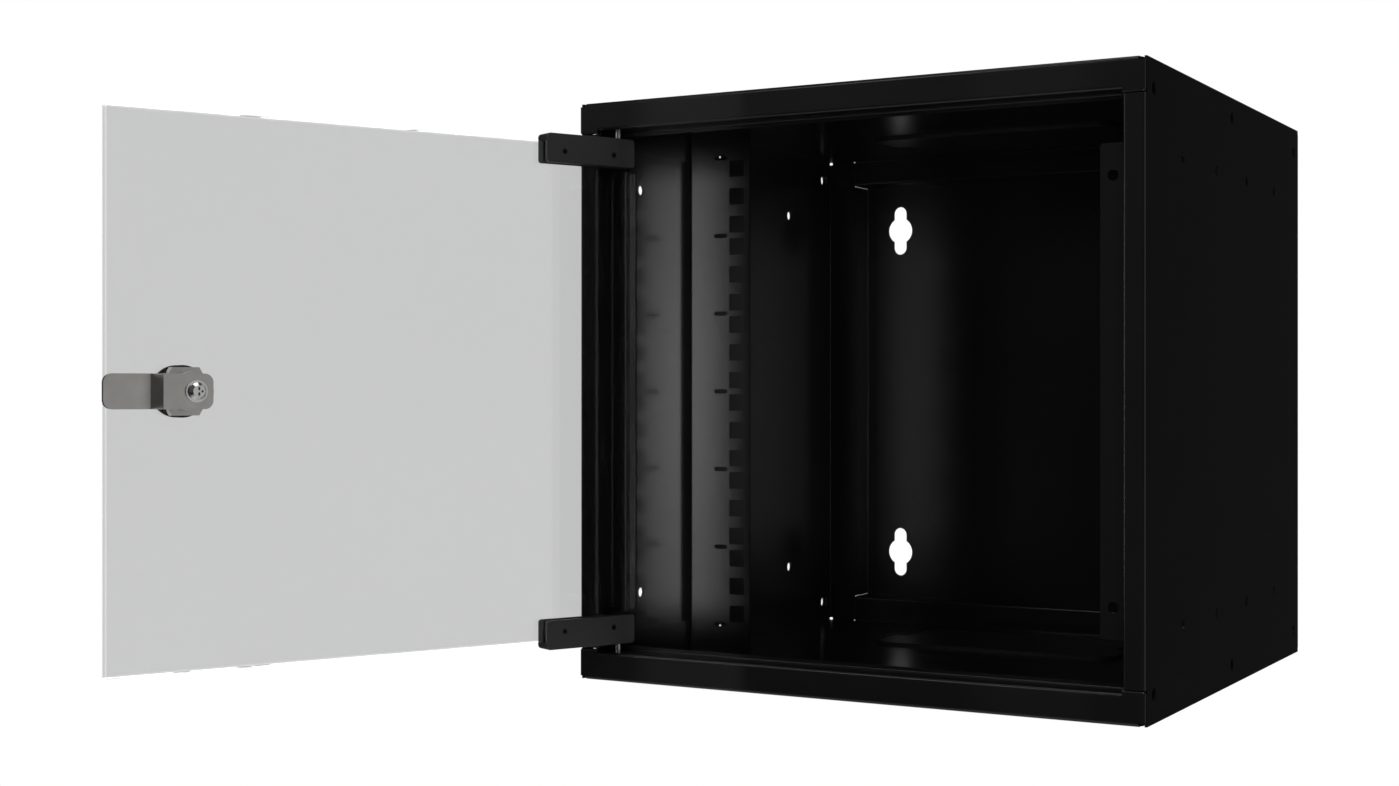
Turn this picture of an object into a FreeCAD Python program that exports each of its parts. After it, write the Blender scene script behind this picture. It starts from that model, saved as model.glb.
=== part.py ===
import FreeCAD, Part

import collections
import math
import operator
import os

import Sketcher

# Wall cabinet for ten inch racks, six units high, of bent sheet steel with a frameless glass door.
# The frame stands at the middle of the wall plane: +X right, +Y into the wall, +Z up.
# The door pieces are drawn closed, about the hinge pins, and their placement swings them open.

SIZES = [
    # the steel body
    ("cab_width", 305, "overall width"),
    ("cab_height", 304, "overall height"),
    ("cab_depth", 300, "front flange to rear flange"),
    ("rear_step", 20, "rear flange to wall plane"),
    ("sheet", 1.2, "steel sheet"),
    ("bend", 1.8, "outer radius of a bend"),
    ("seam", 0.3, "gap between two sheets that meet"),
    ("side_front_width", 11, "front flange of a side panel"),
    ("stop_depth", 15.4, "front to the back of the door stops"),
    ("side_stop_width", 14.8, "door stop strip of a side panel"),
    ("side_stop_inset", 37, "ends of that strip from roof and floor"),
    ("side_rear_width", 19.3, "rear flange of a side panel"),
    ("relief_width", 3.2, "corner relief at the ends of that flange's bend"),
    ("relief_height", 1.2, "corner relief at the ends of that flange's bend"),
    ("roof_front_height", 14.9, "front flange of the roof and the floor"),
    ("roof_end_drop", 1.5, "how much further that flange reaches at its two ends"),
    ("roof_stop_height", 2.2, "door stop at the back of the roof's and the floor's lip"),
    ("roof_rear_height", 17.4, "rear flange of the roof and the floor"),
    ("tab_height", 20, "side tabs of the roof and the floor"),
    ("tab_setback", 4, "tab ends from the front and rear"),
    ("corner_round", 1.5, "corners of flanges and strips"),
    ("flange_edge", 1.1, "rounded ends of the roof's and the floor's front flange"),
    # holes in the body
    ("stop_hole", 5.2, "hole in a stop strip"),
    ("stop_hole_inset", 19.7, "that hole from the side"),
    ("stop_hole_drop", 52, "that hole from roof or floor"),
    ("row_hole", 5.5, "rail fixing hole in the side"),
    ("row_first", 60, "first fixing hole from the front"),
    ("row_pitch", 60, "between fixing holes"),
    ("row_count", 4, "fixing holes in a row"),
    ("row_drop", 40.4, "fixing holes from roof or floor"),
    ("joint_hole", 6, "joint hole in the side"),
    ("joint_tab_hole", 8.5, "hole in the tab behind a joint hole"),
    ("joint_end", 12.8, "end joint holes from front and rear"),
    ("joint_drop", 13.6, "end joint holes from roof or floor"),
    ("joint_mid_drop", 10.5, "middle joint hole from roof or floor"),
    # the back panel
    ("keyhole_inset", 43, "keyholes from the side"),
    ("keyhole_drop", 46, "keyholes from roof or floor"),
    ("keyhole_round", 17, "entry of a keyhole"),
    ("keyhole_slot", 9, "width of a keyhole's slots"),
    ("keyhole_travel", 11.2, "slot end centre from the keyhole's centre"),
    ("rivet", 4, "rivet shank"),
    ("rivet_head", 6, "rivet head"),
    ("rivet_dome", 1, "height of a rivet head"),
    ("rivet_inset", 13.1, "rivets from the side"),
    ("rivet_drop", 51, "rivets from roof or floor"),
    # cable entry covers
    ("cover_front", 195, "front edge of a cover, from the cabinet's front"),
    ("cover_depth", 75, "depth of a cover"),
    ("cover_width", 147, "width of a cover's front part"),
    ("cover_ear", 8, "how far the front part stands out on each side"),
    ("cover_ear_depth", 34, "depth of a cover's front part"),
    ("cover_thick", 2, "thickness of a cover inside the cabinet"),
    ("cover_corner", 12, "front corners of a cover"),
    ("cover_step", 3, "corners where a cover narrows"),
    ("cover_edge", 0.8, "bevelled rim of a cover"),
    ("entry_width", 112, "cable entry cut-out"),
    ("entry_depth", 60, "cable entry cut-out, front to rear"),
    ("entry_corner", 6, "corners of the cut-out"),
    ("entry_gap", 0.2, "cover to cut-out"),
    # rack rails
    ("rack_spacing", 236.525, "between the two rails' hole columns"),
    ("rack_opening", 220, "clear width between the rails"),
    ("rack_unit", 44.45, "one unit"),
    ("rack_units", 6, "units"),
    ("rack_hole", 9.5, "square hole"),
    ("rack_hole_end", 6.35, "first hole centre from the unit's edge"),
    ("rack_hole_step", 15.875, "between a unit's holes"),
    ("rail_front", 110, "rail face from the cabinet's front"),
    ("rail_sheet", 1.5, "rail sheet"),
    ("rail_bend", 2.5, "outer radius of a rail's bend"),
    ("rail_flange", 25, "rail flange along the side panel"),
    ("rail_gap", 0.1, "rail to the tabs of roof and floor"),
    ("mark_width", 8.5, "unit mark"),
    ("mark_height", 2.5, "unit mark"),
    ("mark_offset", 10.4, "unit mark from the hole column"),
    ("screw_head", 9.5, "rail screw head"),
    ("screw_dome", 2.4, "rail screw head height"),
    ("screw_bevel", 1.2, "rounded rim of a rail screw head"),
    ("screw_socket_depth", 1.6, "hexagon socket"),
    ("screw_socket", 3, "hexagon socket across flats"),
    # hinge pins
    ("pin_inset", 19.8, "pin axis from the side of the cabinet"),
    ("pin_back", 6.5, "pin axis from the front of the cabinet"),
    ("pin", 3, "hinge pin"),
    ("pin_gap", 0.05, "radial running clearance on a pin"),
    ("pin_head", 7, "pin head"),
    ("pin_head_height", 2, "pin head"),
    ("pin_bevel", 0.3, "broken ends of a pin"),
    ("pin_engaged", 2.9, "pin in its bracket"),
    ("pin_end_gap", 0.1, "end of a pin to the end of its bore"),
    # door
    ("door_angle", 115.3, "opening angle shown"),
    ("door_end_gap", 4.5, "hinge bracket to the lip of roof or floor"),
    ("glass", 5, "glass thickness"),
    ("glass_gap", 1.9, "free edge of the glass to the side return"),
    ("glass_heel", 6.3, "glass beyond the pin axis"),
    ("glass_edge", 0.5, "ground edge of the glass"),
    ("gasket", 0.5, "gasket between glass and bracket"),
    ("bracket_wall", 1.9, "wall of a hinge bracket"),
    ("bracket_web", 3.6, "closed side of a hinge bracket"),
    ("bracket_height", 15, "hinge bracket"),
    ("bracket_heel", 7.3, "bracket beyond the pin axis"),
    ("bracket_arm", 46, "bracket from the pin axis along the glass"),
    ("bracket_corner", 2.2, "outer corners of a bracket"),
    ("bracket_inner_corner", 1.5, "corners of a bracket towards the glass"),
    ("bracket_bevel", 0.4, "broken edges of a bracket"),
    ("set_screw", 3, "set screw"),
    ("set_screw_socket", 1.5, "hexagon socket across flats"),
    ("set_screw_socket_depth", 0.9, "hexagon socket"),
    ("set_screw_depth", 0.4, "set screw below the bracket's face"),
    ("set_screw_first", 5.7, "first set screw from the pin axis"),
    ("set_screw_pitch", 29.8, "between set screws"),
    ("set_screw_drop", 9.1, "set screws from the bracket's outer face"),
    # lock
    ("lock_inset", 34.9, "lock axis from the free edge of the glass"),
    ("lock_hole", 19, "hole in the glass"),
    ("lock_body", 18, "lock housing"),
    ("lock_flange", 24, "outer flange of the housing"),
    ("lock_flange_thick", 2.4, "outer flange of the housing"),
    ("lock_flange_bevel", 0.8, "outer flange of the housing"),
    ("lock_washer", 1, "washers on the glass"),
    ("lock_reach", 16.5, "housing beyond the glass"),
    ("plug", 11, "lock plug"),
    ("plug_gap", 0.05, "radial running clearance of the plug"),
    ("plug_face", 0.4, "plug in front of the housing"),
    ("plug_end", 0.3, "plug and cam behind the housing"),
    ("plug_square", 7, "square end of the plug"),
    ("key_slot_width", 1.6, "key slot"),
    ("key_slot_height", 7, "key slot"),
    ("key_slot_depth", 12, "key slot"),
    ("nut_flats", 22, "lock nut across flats"),
    ("nut_thick", 4.5, "lock nut"),
    ("cam_width", 16, "cam"),
    ("cam_thick", 2, "cam"),
    ("cam_heel", 8, "cam behind the lock axis"),
    ("cam_bend_start", 13, "where the cam bends"),
    ("cam_bend_end", 15.5, "where its tip part begins"),
    ("cam_reach", 38.8, "cam tip from the lock axis"),
    ("cam_clearance", 0.6, "cam tip behind the stop strip"),
    ("cam_corner", 4, "corners of the cam's heel"),
    ("cam_tip_corner", 4.2, "corners of the cam's tip"),
    ("cam_washer", 10, "washer on the cam"),
    ("cam_washer_thick", 1, "washer on the cam"),
    ("cam_screw", 4, "cam screw"),
    ("cam_screw_length", 8, "cam screw in the plug"),
    ("cam_screw_head", 8, "cam screw head"),
    ("cam_screw_dome", 2.6, "cam screw head"),
    ("cam_screw_bevel", 1.3, "rounded rim of that head"),
    ("cam_screw_recess", 1.2, "depth of its cross recess"),
    ("cam_screw_cross", 4, "length of the cross recess"),
    ("cam_screw_slot", 1, "width of the cross recess"),
]

COLUMN_NAME = "A"
COLUMN_VALUE = "B"
COLUMN_NOTE = "C"
TOUCH = 0.001
# half of a hexagon's side, for one unit across its flats
HALF_SIDE = 1 / (2 * math.sqrt(3))

doc = FreeCAD.newDocument("wall_cabinet")
origin = FreeCAD.Vector(0, 0, 0)
upward = FreeCAD.Vector(0, 0, 1)
OPERATIONS = {"+": operator.add, "-": operator.sub, "*": operator.mul, "/": operator.truediv}
AXES = {"X": 0, "Y": 1, "Z": 2}
# plane role, sketch axes, and the sense of its normal along the remaining axis
PLANES = {
    "Z": ("XY_Plane", "X", "Y", 1),
    "Y": ("XZ_Plane", "X", "Z", -1),
    "X": ("YZ_Plane", "Y", "Z", 1),
}
Round = collections.namedtuple("Round", "across up diameter")
Slot = collections.namedtuple("Slot", "start end diameter")


class Size:
    """A length that holds its number and the spreadsheet formula it comes from."""

    def __init__(self, value, formula):
        self.value = float(value)
        self.formula = formula

    def combine(self, sign, other, swapped=False):
        other = as_size(other)
        left, right = (other, self) if swapped else (self, other)
        return Size(
            OPERATIONS[sign](left.value, right.value),
            f"({left.formula} {sign} {right.formula})",
        )

    def __add__(self, other):
        return self.combine("+", other)

    def __radd__(self, other):
        return self.combine("+", other, True)

    def __sub__(self, other):
        return self.combine("-", other)

    def __rsub__(self, other):
        return self.combine("-", other, True)

    def __mul__(self, other):
        return self.combine("*", other)

    def __rmul__(self, other):
        return self.combine("*", other, True)

    def __truediv__(self, other):
        return self.combine("/", other)

    def __neg__(self):
        return self.combine("*", -1)


def as_size(value):
    return value if isinstance(value, Size) else Size(value, repr(float(value)))


def fill_spreadsheet():
    sheet = doc.addObject("Spreadsheet::Sheet", "Dims")
    named = {}
    for row, (name, value, note) in enumerate(SIZES, start=1):
        sheet.set(f"{COLUMN_NAME}{row}", name)
        sheet.set(f"{COLUMN_VALUE}{row}", str(value))
        sheet.setAlias(f"{COLUMN_VALUE}{row}", name)
        sheet.set(f"{COLUMN_NOTE}{row}", note)
        named[name] = Size(value, f"Dims.{name}")
    doc.recompute()
    return collections.namedtuple("Named", named)(**named)


d = fill_spreadsheet()


def bind(thing, path, size):
    thing.setExpression(path, as_size(size).formula)


def new_body(label):
    body = doc.addObject("PartDesign::Body", label)
    body.Label = label
    return body


def fresh_name(body, purpose):
    return f"{body.Label}_{purpose}"


def pin_point(sketch, geometry, position, across, up):
    for kind, size in (("DistanceX", across), ("DistanceY", up)):
        size = as_size(size)
        constraint = Sketcher.Constraint(kind, -1, 1, geometry, position, size.value)
        index = sketch.addConstraint(constraint)
        bind(sketch, f"Constraints[{index}]", size)


def draw_polygon(sketch, corners):
    corners = [(as_size(across), as_size(up)) for across, up in corners]
    points = [FreeCAD.Vector(across.value, up.value, 0) for across, up in corners]
    first = sketch.GeometryCount
    count = len(points)
    for i in range(count):
        sketch.addGeometry(Part.LineSegment(points[i], points[(i + 1) % count]), False)
    for i in range(count):
        following = first + (i + 1) % count
        sketch.addConstraint(Sketcher.Constraint("Coincident", first + i, 2, following, 1))
    for i, (across, up) in enumerate(corners):
        pin_point(sketch, first + i, 1, across, up)


def draw_round(sketch, shape):
    centre = FreeCAD.Vector(as_size(shape.across).value, as_size(shape.up).value, 0)
    diameter = as_size(shape.diameter)
    circle = Part.Circle(centre, upward, diameter.value / 2)
    geometry = sketch.addGeometry(circle, False)
    pin_point(sketch, geometry, 3, shape.across, shape.up)
    index = sketch.addConstraint(Sketcher.Constraint("Diameter", geometry, diameter.value))
    bind(sketch, f"Constraints[{index}]", diameter)


def draw_slot(sketch, shape):
    """Half circles about the two ends, and the straight lines that join them."""
    radius = as_size(shape.diameter) / 2
    start, end = (
        FreeCAD.Vector(as_size(across).value, as_size(up).value, 0)
        for across, up in (shape.start, shape.end)
    )
    turn = math.atan2(end.y - start.y, end.x - start.x)
    aside = FreeCAD.Vector(-math.sin(turn), math.cos(turn), 0) * radius.value
    far, near, there, back = range(sketch.GeometryCount, sketch.GeometryCount + 4)
    for centre, begin in ((end, turn - math.pi / 2), (start, turn + math.pi / 2)):
        circle = Part.Circle(centre, upward, radius.value)
        sketch.addGeometry(Part.ArcOfCircle(circle, begin, begin + math.pi), False)
    sketch.addGeometry(Part.LineSegment(end + aside, start + aside), False)
    sketch.addGeometry(Part.LineSegment(start - aside, end - aside), False)
    for one, other in ((far, there), (there, near), (near, back), (back, far)):
        sketch.addConstraint(Sketcher.Constraint("Tangent", one, 2, other, 1))
    pin_point(sketch, far, 3, *shape.end)
    pin_point(sketch, near, 3, *shape.start)
    sketch.addConstraint(Sketcher.Constraint("Equal", far, near))
    index = sketch.addConstraint(Sketcher.Constraint("Radius", far, radius.value))
    bind(sketch, f"Constraints[{index}]", radius)


def new_sketch(body, purpose, axis, level, outlines):
    """Sketch across an axis at a level along it, with closed outlines."""
    role, _, _, sense = PLANES[axis]
    planes = {feature.Role: feature for feature in body.Origin.OriginFeatures}
    sketch = body.newObject("Sketcher::SketchObject", fresh_name(body, purpose))
    sketch.AttachmentSupport = (planes[role], [""])
    sketch.MapMode = "FlatFace"
    bind(sketch, "AttachmentOffset.Base.z", as_size(level) * sense)
    for outline in outlines:
        if isinstance(outline, Round):
            draw_round(sketch, outline)
        elif isinstance(outline, Slot):
            draw_slot(sketch, outline)
        else:
            draw_polygon(sketch, outline)
    return sketch


def settle(feature):
    """Recompute, and stop at the first feature that fails."""
    doc.recompute()
    if "Invalid" in feature.State or feature.Shape.isNull() or not feature.Shape.isValid():
        raise ValueError(f"{feature.Name} failed")
    return feature


def pad(body, purpose, axis, low, high, *outlines):
    """Solid between two levels along an axis."""
    start = low if PLANES[axis][3] > 0 else high
    sketch = new_sketch(body, f"{purpose}_outline", axis, start, outlines)
    feature = body.newObject("PartDesign::Pad", fresh_name(body, purpose))
    feature.Profile = sketch
    bind(feature, "Length", as_size(high) - low)
    return settle(feature)


def pocket(body, purpose, axis, low, high, *outlines):
    """Cut between two levels along an axis; a cut that removes nothing is an error."""
    before = body.Shape.Volume
    start = high if PLANES[axis][3] > 0 else low
    sketch = new_sketch(body, f"{purpose}_outline", axis, start, outlines)
    feature = body.newObject("PartDesign::Pocket", fresh_name(body, purpose))
    feature.Profile = sketch
    bind(feature, "Length", as_size(high) - low)
    settle(feature)
    if not body.Shape.Volume < before:
        raise ValueError(f"{feature.Name} cuts nothing")
    return feature


def repeat(body, purpose, feature, axis, pitch, count):
    """Copies of a feature in a row along an axis."""
    lines = {part.Role: part for part in body.Origin.OriginFeatures}
    pattern = body.newObject("PartDesign::LinearPattern", fresh_name(body, purpose))
    pattern.Originals = [feature]
    pattern.Direction = (lines[f"{axis}_Axis"], [""])
    bind(pattern, "Length", pitch * (count - 1))
    bind(pattern, "Occurrences", count)
    body.Tip = pattern
    return settle(pattern)


def edges_along(shape, axis, places):
    """Names of the straight edges along an axis that pass the given places across it."""
    across = [i for name, i in AXES.items() if name != axis]
    wanted = [tuple(as_size(size).value for size in place) for place in places]
    names = []
    for number, edge in enumerate(shape.Edges, start=1):
        start, end = edge.Vertexes[0].Point, edge.Vertexes[-1].Point
        along = abs(end[AXES[axis]] - start[AXES[axis]])
        if abs(along - edge.Length) > TOUCH or along < TOUCH:
            continue
        here = tuple(start[i] for i in across)
        if any(abs(here[0] - a) < TOUCH and abs(here[1] - b) < TOUCH for a, b in wanted):
            names.append(f"Edge{number}")
    return names


def soften(body, purpose, kind, size, names):
    """Fillet or chamfer on named edges of the body's last feature."""
    if not names:
        raise ValueError(f"{body.Label} has no edges for {purpose}")
    base = body.Tip
    feature = body.newObject(f"PartDesign::{kind}", fresh_name(body, purpose))
    feature.Base = (base, names)
    bind(feature, "Radius" if kind == "Fillet" else "Size", size)
    return settle(feature)


def round_bends(body, purpose, size, axis, places):
    return soften(body, purpose, "Fillet", size, edges_along(body.Tip.Shape, axis, places))


def rectangle(left, right, bottom, top):
    return [(left, bottom), (right, bottom), (right, top), (left, top)]


# places that several pieces share
half_width = d.cab_width / 2
half_height = d.cab_height / 2
front = -(d.cab_depth + d.rear_step)
rear = -d.rear_step
inner_bend = d.bend - d.sheet
wall_inside = half_width - d.sheet
roof_inside = half_height - d.sheet
tab_outside = wall_inside - d.seam / 2
tab_inside = tab_outside - d.sheet
side_opening = half_width - d.side_front_width
roof_opening = half_height - d.roof_front_height
flange_end = half_height - d.roof_front_height - d.roof_end_drop
side_front_top = flange_end - d.seam
rear_opening_x = half_width - d.side_rear_width
rear_opening_z = half_height - d.roof_rear_height
stop_back = front + d.stop_depth
stop_front = stop_back - d.sheet
pin_x = -half_width + d.pin_inset
pin_y = front + d.pin_back
joint_rows = (
    (front + d.joint_end, d.joint_drop),
    (front + d.cab_depth / 2, d.joint_mid_drop),
    (rear - d.joint_end, d.joint_drop),
)
row_z = half_height - d.row_drop
rivet_x = half_width - d.rivet_inset
rivet_z = half_height - d.rivet_drop
cover_front = front + d.cover_front
cover_rear = cover_front + d.cover_depth
entry_middle = cover_front + d.cover_depth / 2
rail_outside = tab_inside - d.rail_gap
rail_inside = rail_outside - d.rail_sheet
rail_screw_y = front + d.row_first + d.row_pitch


def joint_holes(side, diameter):
    """Joint holes of roof (side 1) or floor (side -1), as seen along X."""
    return [Round(y, side * (half_height - drop), diameter) for y, drop in joint_rows]


def entry_outline(grow):
    half = d.entry_width / 2 + grow
    deep = d.entry_depth / 2 + grow
    return rectangle(-half, half, entry_middle - deep, entry_middle + deep)


def round_entry_corners(body, purpose, grow):
    half = d.entry_width / 2 + grow
    deep = d.entry_depth / 2 + grow
    places = [(x, entry_middle + y) for x in (-half, half) for y in (-deep, deep)]
    round_bends(body, purpose, d.entry_corner + grow, "Z", places)


def ordered(first, second):
    return (first, second) if first.value < second.value else (second, first)


def span(side, near, far):
    """Two distances from the middle, on one side of it, lower coordinate first."""
    return ordered(side * near, side * far)


def make_roof(label, side):
    """Roof (side 1) or floor (side -1): one sheet with flanges, lip, stop, tabs and rear return."""
    body = new_body(label)
    outside, inside = side * half_height, side * roof_inside
    opening, rear_open = side * roof_opening, side * rear_opening_z
    sheet_in = side * d.sheet
    roof_half = tab_outside - d.bend - d.seam
    pad(body, "sheet", "X", -roof_half, roof_half, [
        (front, opening), (front, outside), (rear, outside), (rear, inside),
        (front + d.sheet, inside), (front + d.sheet, opening),
    ])
    lip_half = side_opening - 2 * d.seam
    stop_edge = side * (roof_opening - d.roof_stop_height)
    pad(body, "lip", "X", -lip_half, lip_half, [
        (front, opening), (stop_front, opening), (stop_front, stop_edge),
        (stop_back, stop_edge), (stop_back, opening + sheet_in), (front, opening + sheet_in),
    ])
    return_half = rear_opening_x - d.seam
    pad(body, "rear_return", "X", -return_half, return_half, [
        (rear - d.sheet, outside), (rear, outside), (rear, rear_open + sheet_in),
        (rear + d.rear_step, rear_open + sheet_in), (rear + d.rear_step, rear_open),
        (rear - d.sheet, rear_open),
    ])
    round_bends(body, "outer_bends", d.bend, "X", [
        (front, outside), (rear, outside), (front, opening), (rear - d.sheet, rear_open),
        (stop_back, opening + sheet_in),
    ])
    round_bends(body, "inner_bends", inner_bend, "X", [
        (front + d.sheet, inside), (front + d.sheet, opening + sheet_in),
        (rear - d.sheet, inside), (rear, rear_open + sheet_in), (stop_front, opening),
    ])
    end = side * flange_end
    top = side * (half_height - d.bend)
    pad(body, "flange_ends", "Y", front, front + d.sheet, *[
        rectangle(*span(x, side_opening, half_width), *ordered(end, top)) for x in (-1, 1)
    ])
    round_bends(body, "flange_corners", d.corner_round, "Y", [
        (x * half_width, end) for x in (-1, 1)
    ])
    round_bends(body, "flange_edges", d.flange_edge, "Z", [
        (x * half_width, front) for x in (-1, 1)
    ])
    tab_start, tab_end = front + d.tab_setback, rear - d.tab_setback
    tab_low = side * (half_height - d.tab_height)
    pad(body, "tabs", "Y", tab_start, tab_end, *[
        [
            (x * (tab_inside - d.bend), outside), (x * tab_outside, outside),
            (x * tab_outside, tab_low), (x * tab_inside, tab_low),
            (x * tab_inside, inside), (x * (tab_inside - d.bend), inside),
        ] for x in (-1, 1)
    ])
    round_bends(body, "tab_bends", d.bend, "Y", [(x * tab_outside, outside) for x in (-1, 1)])
    round_bends(body, "tab_inner_bends", inner_bend, "Y", [
        (x * tab_inside, inside) for x in (-1, 1)
    ])
    for x in (-1, 1):
        low, high = span(x, tab_inside, tab_outside)
        pocket(body, "joint_holes", "X", low, high, *joint_holes(side, d.joint_tab_hole))
    low, high = ordered(inside, outside)
    pocket(body, "entry", "Z", low, high, entry_outline(d.entry_gap))
    round_entry_corners(body, "entry_corners", d.entry_gap)
    lip_low, lip_high = ordered(opening, opening + sheet_in)
    pocket(body, "pin_hole", "Z", lip_low, lip_high, Round(pin_x, pin_y, d.pin))
    return body


def make_side(label, side):
    """Right (side 1) or left (side -1) panel: wall, front flange, return, stop strip, rear flange."""
    body = new_body(label)
    outer, inner = side * half_width, side * wall_inside
    opening = side * side_opening
    opening_back = side * (side_opening + d.sheet)
    sheet_front, sheet_rear = front + d.sheet, rear - d.sheet
    wall_front, wall_rear = front + d.bend + d.seam, rear - d.bend - d.seam
    join_front, join_rear = wall_front + d.sheet, wall_rear - d.sheet
    wall = rectangle(*ordered(inner, outer), wall_front, wall_rear)
    pad(body, "wall", "Z", -half_height, half_height, wall)
    pad(body, "front_flange", "Z", -side_front_top, side_front_top, [
        (outer, front), (opening, front), (opening, stop_back), (opening_back, stop_back),
        (opening_back, sheet_front), (inner, sheet_front), (inner, join_front),
        (outer, join_front),
    ])
    stop_half = half_height - d.side_stop_inset
    stop_edge = side * (side_opening - d.side_stop_width)
    strip = rectangle(*ordered(stop_edge, opening_back), stop_front, stop_back)
    pad(body, "stop_strip", "Z", -stop_half, stop_half, strip)
    rear_edge = side * rear_opening_x
    pad(body, "rear_flange", "Z", -roof_inside, roof_inside, [
        (outer, join_rear), (outer, rear), (rear_edge, rear), (rear_edge, sheet_rear),
        (inner, sheet_rear), (inner, join_rear),
    ])
    round_bends(body, "outer_bends", d.bend, "Z", [
        (outer, front), (opening, front), (outer, rear),
    ])
    round_bends(body, "inner_bends", inner_bend, "Z", [
        (inner, sheet_front), (opening_back, sheet_front), (inner, sheet_rear),
        (opening, stop_front),
    ])
    round_bends(body, "strip_corners", d.corner_round, "Y", [
        (stop_edge, stop_half), (stop_edge, -stop_half),
        (rear_edge, roof_inside), (rear_edge, -roof_inside),
    ])
    relief = span(side, half_width - d.relief_width, half_width)
    pocket(body, "corner_reliefs", "Y", wall_rear, rear, *[
        rectangle(*relief, *span(end, roof_inside - d.relief_height, roof_inside))
        for end in (-1, 1)
    ])
    for name, end in (("upper", 1), ("lower", -1)):
        low, high = ordered(inner, outer)
        first = pocket(
            body, f"{name}_row_hole", "X", low, high,
            Round(front + d.row_first, end * row_z, d.row_hole),
        )
        repeat(body, f"{name}_row", first, "Y", d.row_pitch, d.row_count)
        pocket(body, f"{name}_joint_holes", "X", low, high, *joint_holes(end, d.joint_hole))
    hole_x = side * (half_width - d.stop_hole_inset)
    hole_z = half_height - d.stop_hole_drop
    pocket(body, "stop_holes", "Y", stop_front, stop_back, *[
        Round(hole_x, end * hole_z, d.stop_hole) for end in (-1, 1)
    ])
    pocket(body, "rivet_holes", "Y", sheet_rear, rear, *[
        Round(side * rivet_x, end * rivet_z, d.rivet) for end in (-1, 1)
    ])
    return body


def cut_keyholes(body, low, high):
    """Four keyholes, each a round entry with a slot above and below it."""
    across, up = half_width - d.keyhole_inset, half_height - d.keyhole_drop
    places = [(x * across, z * up) for x in (-1, 1) for z in (-1, 1)]
    pocket(body, "keyhole_entries", "Y", low, high, *[
        Round(x, z, d.keyhole_round) for x, z in places
    ])
    pocket(body, "keyhole_slots", "Y", low, high, *[
        Slot((x, z - d.keyhole_travel), (x, z + d.keyhole_travel), d.keyhole_slot)
        for x, z in places
    ])


def make_back_panel():
    """Hat-shaped back panel: a plate on the wall, two walls, and flanges behind the side panels."""
    body = new_body("back_panel")
    half = rear_opening_z
    wall = rear_opening_x + d.sheet
    flange = half_width - d.sheet - d.seam
    plate = -d.sheet
    pad(body, "plate", "Z", -half, half, [
        (-flange, rear), (-rear_opening_x, rear), (-rear_opening_x, plate),
        (rear_opening_x, plate), (rear_opening_x, rear), (flange, rear),
        (flange, rear + d.sheet), (wall, rear + d.sheet), (wall, 0),
        (-wall, 0), (-wall, rear + d.sheet), (-flange, rear + d.sheet),
    ])
    round_bends(body, "outer_bends", d.bend, "Z", [
        (x * place, y) for x in (-1, 1) for place, y in ((wall, 0), (rear_opening_x, rear))
    ])
    round_bends(body, "inner_bends", inner_bend, "Z", [
        (x * place, y)
        for x in (-1, 1)
        for place, y in ((rear_opening_x, plate), (wall, rear + d.sheet))
    ])
    round_bends(body, "flange_corners", d.corner_round, "Y", [
        (x * flange, z * half) for x in (-1, 1) for z in (-1, 1)
    ])
    cut_keyholes(body, plate, as_size(0))
    pocket(body, "rivet_holes", "Y", rear, rear + d.sheet, *[
        Round(x * rivet_x, z * rivet_z, d.rivet) for x in (-1, 1) for z in (-1, 1)
    ])
    return body


def make_rivets():
    """Rivets through the side panels' rear flanges and the back panel's flanges."""
    places = [(x * rivet_x, z * rivet_z) for x in (-1, 1) for z in (-1, 1)]
    inside, outside = rear - d.sheet, rear + d.sheet
    solids = []
    for i, (x, z) in enumerate(places, start=1):
        pieces = [
            cylinder(f"rivet_{i}_shank", d.rivet, inside, outside, x, z),
            cylinder(f"rivet_{i}_head", d.rivet_head, inside - d.rivet_dome, inside, x, z),
            cylinder(f"rivet_{i}_tail", d.rivet_head, outside, outside + d.rivet_dome, x, z),
        ]
        solids.append(fuse(f"rivet_{i}", pieces))
    return group("back_panel_rivets", solids)


def cylinder(name, diameter, low, high, x, z):
    """Cylinder along +Y between two levels."""
    shape = doc.addObject("Part::Cylinder", name)
    shape.Placement = FreeCAD.Placement(origin, FreeCAD.Rotation(FreeCAD.Vector(1, 0, 0), -90))
    bind(shape, "Radius", as_size(diameter) / 2)
    bind(shape, "Height", as_size(high) - low)
    bind(shape, "Placement.Base.x", x)
    bind(shape, "Placement.Base.y", low)
    bind(shape, "Placement.Base.z", z)
    return shape


def fuse(name, pieces):
    joined = doc.addObject("Part::MultiFuse", name)
    joined.Shapes = pieces
    joined.Refine = True
    return joined


def group(label, solids):
    """Separate solids under one label."""
    compound = doc.addObject("Part::Compound", label)
    compound.Label = label
    compound.Links = solids
    return compound


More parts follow.
